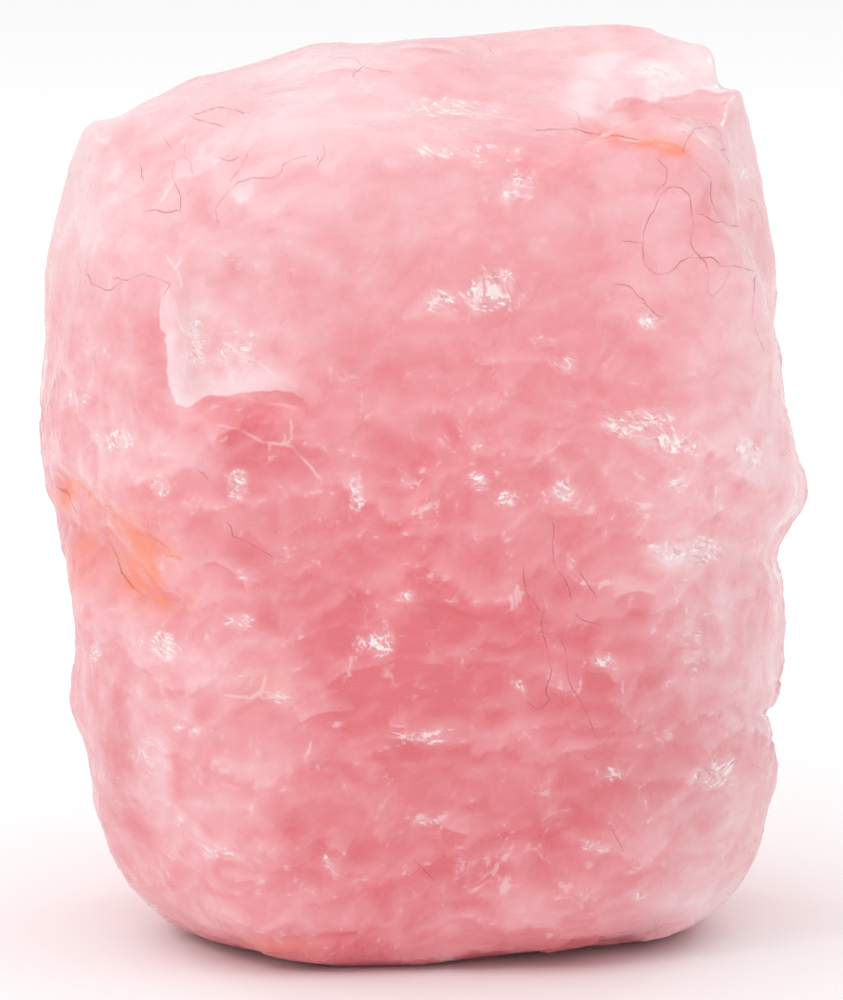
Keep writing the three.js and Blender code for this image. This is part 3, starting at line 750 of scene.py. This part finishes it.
def reliefNodes():
    tree = bpy.data.node_groups.new("shellRelief", "GeometryNodeTree")
    for way in ("INPUT", "OUTPUT"):
        tree.interface.new_socket("Geometry", in_out=way, socket_type="NodeSocketGeometry")
    mesh = tree.nodes.new("NodeGroupInput").outputs[0]
    place = tree.nodes.new("GeometryNodeInputPosition").outputs[0]
    bent = bentPlace(tree, vector(tree, "MULTIPLY", place, (perMetre,) * 3))
    rough = readField(tree, "rough")
    mesh = storeField(tree, mesh, "bent", bent, "FLOAT_VECTOR")

    # hollows and clouds
    wideHeight, wideTone, wideEdge = shellLayer(tree, bent, relief["wide"])
    smallHeight, smallTone, smallEdge = shellLayer(tree, bent, relief["small"])
    mesh = storeField(tree, mesh, "shell", calc(tree, "ADD", wideTone, smallTone))
    mesh = storeField(tree, mesh, "edge", calc(tree, "MAXIMUM", wideEdge, smallEdge))
    mesh = storeField(tree, mesh, "cloud", speckle(tree, bent, relief["cloud"]).outputs["Fac"])
    flat = vector(tree, "MULTIPLY", bent, relief["smallCloud"]["flatten"])
    smallCloud = speckle(tree, flat, relief["smallCloud"]).outputs["Fac"]
    patches = speckle(tree, bent, relief["patches"]).outputs["Fac"]
    streaks = speckle(tree, bent, relief["streaks"]).outputs["Fac"]
    clouds = addNode(tree, "ShaderNodeCombineXYZ", {0: smallCloud, 1: patches, 2: streaks}).outputs[0]
    mesh = storeField(tree, mesh, "clouds", clouds, "FLOAT_VECTOR")

    # chance bruises beside the placed ones, which carry painted glints too
    chance = relief["wildBruiseAndGlint"]
    wild = ramp(tree, speckle(tree, bent, chance).outputs["Fac"], *chance["crowding"])
    less = chance["front"] - chance["elsewhere"]
    strength = calc(tree, "MULTIPLY_ADD", readField(tree, "front"), less, chance["elsewhere"])
    wild = calc(tree, "MULTIPLY", wild, calc(tree, "MULTIPLY", strength, rough))
    bruiseAndGlint = calc(tree, "MAXIMUM", readField(tree, "bruisesAndGlints"), wild)
    mesh = storeField(tree, mesh, "bruisesAndGlints", bruiseAndGlint)

    # hollows, small facets that lean every way in the bruises, grain and ribs
    total = calc(tree, "MULTIPLY", calc(tree, "ADD", wideHeight, smallHeight), rough)
    crumple = relief["crumple"]
    tilt = leaningCells(tree, bent, crumple["cell"])[-1]
    facets = calc(tree, "MULTIPLY", tilt, crumple["depth"])
    facets = calc(tree, "MULTIPLY", facets, ramp(tree, bruiseAndGlint, *crumple["bruiseAndGlint"]))
    total = calc(tree, "ADD", total, facets)
    grain = upDown(tree, speckle(tree, bent, relief["grain"]).outputs["Fac"], relief["grain"]["height"])
    total = calc(tree, "ADD", total, grain)
    ribs = upDown(tree, speckle(tree, bent, relief["ribs"]).outputs["Fac"], relief["ribs"]["height"])
    total = calc(tree, "MULTIPLY_ADD", ribs, readField(tree, "ribs"), total)
    total = calc(tree, "MULTIPLY", total, readField(tree, "lift"))
    sockets = {0: tree.nodes.new("GeometryNodeInputNormal").outputs[0],
               "Scale": calc(tree, "MULTIPLY", total, 1 / perMetre)}
    push = addNode(tree, "ShaderNodeVectorMath", sockets, operation="SCALE").outputs["Vector"]
    move = addNode(tree, "GeometryNodeSetPosition", {"Geometry": mesh, "Offset": push})
    tree.links.new(move.outputs[0], tree.nodes.new("NodeGroupOutput").inputs[0])
    return tree


def roughenStone(stone):
    shells = stone.modifiers.new("shells", "NODES")
    shells.node_group = reliefNodes()
    bakeModifiers(stone)
    mesh = stone.data
    places = vertexTable(mesh, "co")
    places[:, 2] = np.maximum(places[:, 2], 0)
    placeVertices(mesh, places)
    # noise swings about a half
    small, patches, streaks = (readBack(mesh, "clouds", 3) - 0.5).T
    tone = takeField(mesh, "tone") + relief["cloud"]["tone"] * (takeField(mesh, "cloud") - 0.5)
    tone += takeField(mesh, "shell") * readBack(mesh, "rough")
    tone += relief["smallCloud"]["tone"] * small
    tone += relief["streaks"]["tone"] * streaks * takeField(mesh, "ribs")
    tone += relief["patches"]["tone"] * patches * takeField(mesh, "mottles")
    keepField(mesh, "tone", tone)
    for name in ("lift", "front"):
        mesh.attributes.remove(mesh.attributes[name])


stone = remeshedStone(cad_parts["rose_quartz_chunk"])
markStone(stone.data)
print("tones, stains and cracks marked")
roughenStone(stone)
print("broken surface raised")

quartz = {
    # paleness and colour
    "pinks": (
        (0.00, (0.765, 0.164, 0.195)),
        (0.14, (0.805, 0.223, 0.255)),
        (0.40, (0.868, 0.345, 0.378)),
        (0.65, (0.915, 0.495, 0.525)),
        (1.00, (0.962, 0.700, 0.728)),
        (1.25, (0.975, 0.815, 0.830)),
    ),
    "white": (0.985, 0.90, 0.90),
    "rusty": (0.945, 0.278, 0.160),
    "dark": (0.46, 0.075, 0.09),
    "ior": 1.54,
    "scatterShare": 0.3,
    "scatter": 0.006,
    "scatterColours": (1.0, 0.45, 0.45),
    "roughness": {"cloud": (0.35, 0.65), "values": (0.22, 0.40), "haze": -0.12},
    "grain": {"length": 1.3, "roughness": 0.6, "tone": 0.12},
    # reach and tone of each set of facet edges; reach, blur and wander in columns of the image
    "facets": {"sets": ((50, 0.26), (28, 0.16)), "blur": 1.5, "wander": 22.0},
    # grain, patches and haze say how much these add to the crowding or the luck
    "rimHighlights": {"edge": 0.9, "grain": 1.6, "patches": 1.2, "crowding": (0.86, 1.25), "white": 0.3},
    "haze": {"patches": 1.6, "crowding": (0.15, 0.95), "bruiseAndGlint": (0.05, 0.4), "white": 0.22},
    "paintedGlints": {"turn": 0.4, "size": (0.85, 0.85, 0.36), "haze": 0.42, "luck": (0.86, 1.30),
               "grain": (0.40, 0.54), "white": 0.9},
    "darkReflections": {"luck": (0.10, 0.24), "dark": 0.25},
    # whiteness in the open stone, and in the haze of the bruises, where the threads paint the crackle of
    # the glints
    "threads": {"cell": (3.6, 3.6, 2.0), "drift": 1.0, "width": (0.006, 0.042), "patches": (0.5, 0.7),
                "white": 0.13, "haze": (0.35, 0.95), "crackleGlintWhite": 0.5},
    # widths and shakes of the lines in columns of the image; their shares swing with the patches
    "lines": {"shake": 3.0, "reach": (4.0, 8.0), "patches": (0.35, 0.6)},
    "cracks": {"width": (0.25, 0.95), "shares": (0.2, 0.65)},
    "veins": {"width": (0.2, 2.4), "shares": (0.08, 0.38)},
    "rust": {"width": (0.5, 3.0), "shakes": 3.0, "share": 0.6},
    "stains": {"cloud": (0.34, 0.60), "shares": (0.30, 1.0), "strength": 0.8},
}


def blend(tree, share, under, over, way="MIX"):
    sockets = {0: share, 6: under, 7: over}
    made = addNode(tree, "ShaderNodeMix", sockets, data_type="RGBA", blend_type=way, clamp_factor=True)
    return made.outputs[2]


def markOf(tree, name, output="Fac"):
    made = addNode(tree, "ShaderNodeAttribute", attribute_name=name, attribute_type="GEOMETRY")
    return made.outputs[output]


def pinkOf(tree, paleness):
    # a new colour ramp has two steps, and the others are added
    palest = quartz["pinks"][-1][0]
    made = addNode(tree, "ShaderNodeValToRGB", {"Fac": calc(tree, "DIVIDE", paleness, palest)})
    steps = made.color_ramp.elements
    for index, (pale, colour) in enumerate(quartz["pinks"]):
        step = steps[index] if index < 2 else steps.new(pale / palest)
        step.position = pale / palest
        step.color = (*colour, 1)
    return made.outputs["Color"]


def lineMask(tree, side, near, width, wiggle):
    drift = calc(tree, "ABSOLUTE", calc(tree, "ADD", side, wiggle))
    line = ramp(tree, drift, *width, 1.0, 0.0)
    return calc(tree, "MULTIPLY", line, ramp(tree, near, *quartz["lines"]["reach"], 1.0, 0.0))


def quartzMaterial():
    material = bpy.data.materials.new("roseQuartz")
    material.use_nodes = True
    tree = material.node_tree
    white = (*quartz["white"], 1)
    dark = (*quartz["dark"], 1)
    bent = markOf(tree, "bent", "Vector")
    bruiseAndGlint = markOf(tree, "bruisesAndGlints")
    rough = markOf(tree, "rough")
    smallCloud, patches = split(tree, markOf(tree, "clouds", "Vector"))[:2]
    grains = speckle(tree, bent, quartz["grain"])
    grain = grains.outputs["Fac"]

    # pinks, paler on one side of the facet edges than on the other
    total = calc(tree, "ADD", markOf(tree, "tone"), upDown(tree, grain, quartz["grain"]["tone"]))
    facets = quartz["facets"]
    facetNear = split(tree, markOf(tree, "facetNear", "Vector"))
    facetSide = split(tree, markOf(tree, "facetSide", "Vector"))
    wander = upDown(tree, smallCloud, facets["wander"])
    for axis, (reach, amount) in enumerate(facets["sets"]):
        side = calc(tree, "ADD", facetSide[axis], wander)
        sharp = ramp(tree, side, -facets["blur"], facets["blur"], 1.0, -1.0)
        fade = ramp(tree, facetNear[axis], 0, reach, amount, 0.0)
        total = calc(tree, "MULTIPLY_ADD", sharp, fade, total)
    base = pinkOf(tree, total)

    # broken white rims along the edges of the hollows: painted highlights on the ridges there
    rimHighlights = quartz["rimHighlights"]
    rimHighlight = upDown(tree, grain, rimHighlights["grain"])
    rimHighlight = calc(tree, "MULTIPLY_ADD", markOf(tree, "edge"), rimHighlights["edge"], rimHighlight)
    rimHighlight = calc(tree, "ADD", rimHighlight, upDown(tree, patches, rimHighlights["patches"]))
    rimHighlight = calc(tree, "MULTIPLY", ramp(tree, rimHighlight, *rimHighlights["crowding"], 0.0, rimHighlights["white"]), rough)
    base = blend(tree, rimHighlight, base, white)

    # bruises: a pale haze, painted dark reflections, and small shards painted white as glints
    hazes = quartz["haze"]
    inBruiseAndGlint = ramp(tree, bruiseAndGlint, *hazes["bruiseAndGlint"])
    haze = calc(tree, "ADD", bruiseAndGlint, upDown(tree, patches, hazes["patches"]))
    haze = calc(tree, "MULTIPLY", ramp(tree, haze, *hazes["crowding"]), inBruiseAndGlint)
    base = blend(tree, calc(tree, "MULTIPLY", haze, hazes["white"]), base, white)
    paintedGlints = quartz["paintedGlints"]
    sockets = {"Vector": bent, "Rotation": (0, paintedGlints["turn"], 0), "Scale": paintedGlints["size"]}
    spot = addNode(tree, "ShaderNodeMapping", sockets, vector_type="TEXTURE").outputs[0]
    chances = split(tree, cellNoise(tree, spot).outputs["Color"])
    # painted dark reflections in the gaps beside the painted glints
    darkReflection = ramp(tree, chances[1], *quartz["darkReflections"]["luck"], quartz["darkReflections"]["dark"], 0.0)
    base = blend(tree, calc(tree, "MULTIPLY", haze, darkReflection), base, dark)
    # painted highlights: shards painted white where glints would catch the light
    luck = calc(tree, "MULTIPLY_ADD", haze, paintedGlints["haze"], chances[0])
    paintedGlint = calc(tree, "MULTIPLY", ramp(tree, luck, *paintedGlints["luck"]), ramp(tree, grain, *paintedGlints["grain"]))
    paintedGlint = calc(tree, "MULTIPLY", paintedGlint, inBruiseAndGlint)
    base = blend(tree, calc(tree, "MULTIPLY", paintedGlint, paintedGlints["white"]), base, white)

    # broken threads of fine white cracks inside the stone, brighter in the bruises, where they paint the
    # fine crackle of the glints
    threads = quartz["threads"]
    drift = everyWay(tree, grains.outputs["Color"])
    spot = vector(tree, "MULTIPLY_ADD", drift, (threads["drift"],) * 3, bent)
    spot = vector(tree, "DIVIDE", spot, threads["cell"])
    border = cellNoise(tree, spot, "DISTANCE_TO_EDGE").outputs["Distance"]
    thread = ramp(tree, border, *threads["width"], 1.0, 0.0)
    shown = calc(tree, "MULTIPLY", ramp(tree, patches, *threads["patches"], 0.0, threads["white"]), rough)
    shown = calc(tree, "ADD", shown, ramp(tree, haze, *threads["haze"], 0.0, threads["crackleGlintWhite"]))
    base = blend(tree, calc(tree, "MULTIPLY", thread, shown), base, white)

    # rusty stains and creases
    shake = upDown(tree, grain, quartz["lines"]["shake"])
    rusts = quartz["rust"]
    wiggle = calc(tree, "MULTIPLY", shake, rusts["shakes"])
    rust = lineMask(tree, facetSide[2], facetNear[2], rusts["width"], wiggle)
    stains = quartz["stains"]
    stain = calc(tree, "MULTIPLY_ADD", rust, rusts["share"], markOf(tree, "stains"))
    patchy = ramp(tree, smallCloud, *stains["cloud"], *stains["shares"])
    stain = calc(tree, "MULTIPLY", stain, patchy, clamp=True)
    base = blend(tree, calc(tree, "MULTIPLY", stain, stains["strength"]), base, (*quartz["rusty"], 1))

    # pale veins, then dark hairline cracks
    come = quartz["lines"]["patches"]
    veins = quartz["veins"]
    vein = lineMask(tree, markOf(tree, "veinSide"), markOf(tree, "veinNear"), veins["width"], shake)
    vein = calc(tree, "MULTIPLY", vein, ramp(tree, patches, *come, *veins["shares"]))
    base = blend(tree, vein, base, white)
    cracks = quartz["cracks"]
    crackNear = split(tree, markOf(tree, "crackNear", "Vector"))
    crackSide = split(tree, markOf(tree, "crackSide", "Vector"))
    crack = 0.0
    for near, side in zip(crackNear, crackSide):
        crack = calc(tree, "MAXIMUM", crack, lineMask(tree, side, near, cracks["width"], shake))
    crack = calc(tree, "MULTIPLY", crack, ramp(tree, patches, *come, *cracks["shares"]))
    base = blend(tree, crack, base, dark)

    # darker in the shade, glassier in the bruises
    light = calc(tree, "SUBTRACT", 1.0, markOf(tree, "shades"))
    base = blend(tree, 1.0, base, light, "MULTIPLY")
    gloss = quartz["roughness"]
    shine = ramp(tree, smallCloud, *gloss["cloud"], *gloss["values"])
    shine = calc(tree, "MULTIPLY_ADD", haze, gloss["haze"], shine, clamp=True)

    shader = tree.nodes["Principled BSDF"]
    shader.subsurface_method = "BURLEY"
    feed(tree, shader.inputs["Base Color"], base)
    feed(tree, shader.inputs["Roughness"], shine)
    shader.inputs["IOR"].default_value = quartz["ior"]
    shader.inputs["Subsurface Weight"].default_value = quartz["scatterShare"]
    shader.inputs["Subsurface Radius"].default_value = quartz["scatterColours"]
    shader.inputs["Subsurface Scale"].default_value = quartz["scatter"]
    return material


stone.data.materials.clear()
stone.data.materials.append(quartzMaterial())
print("quartz material made")

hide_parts("rose_quartz_chunk")
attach(stone, "root")
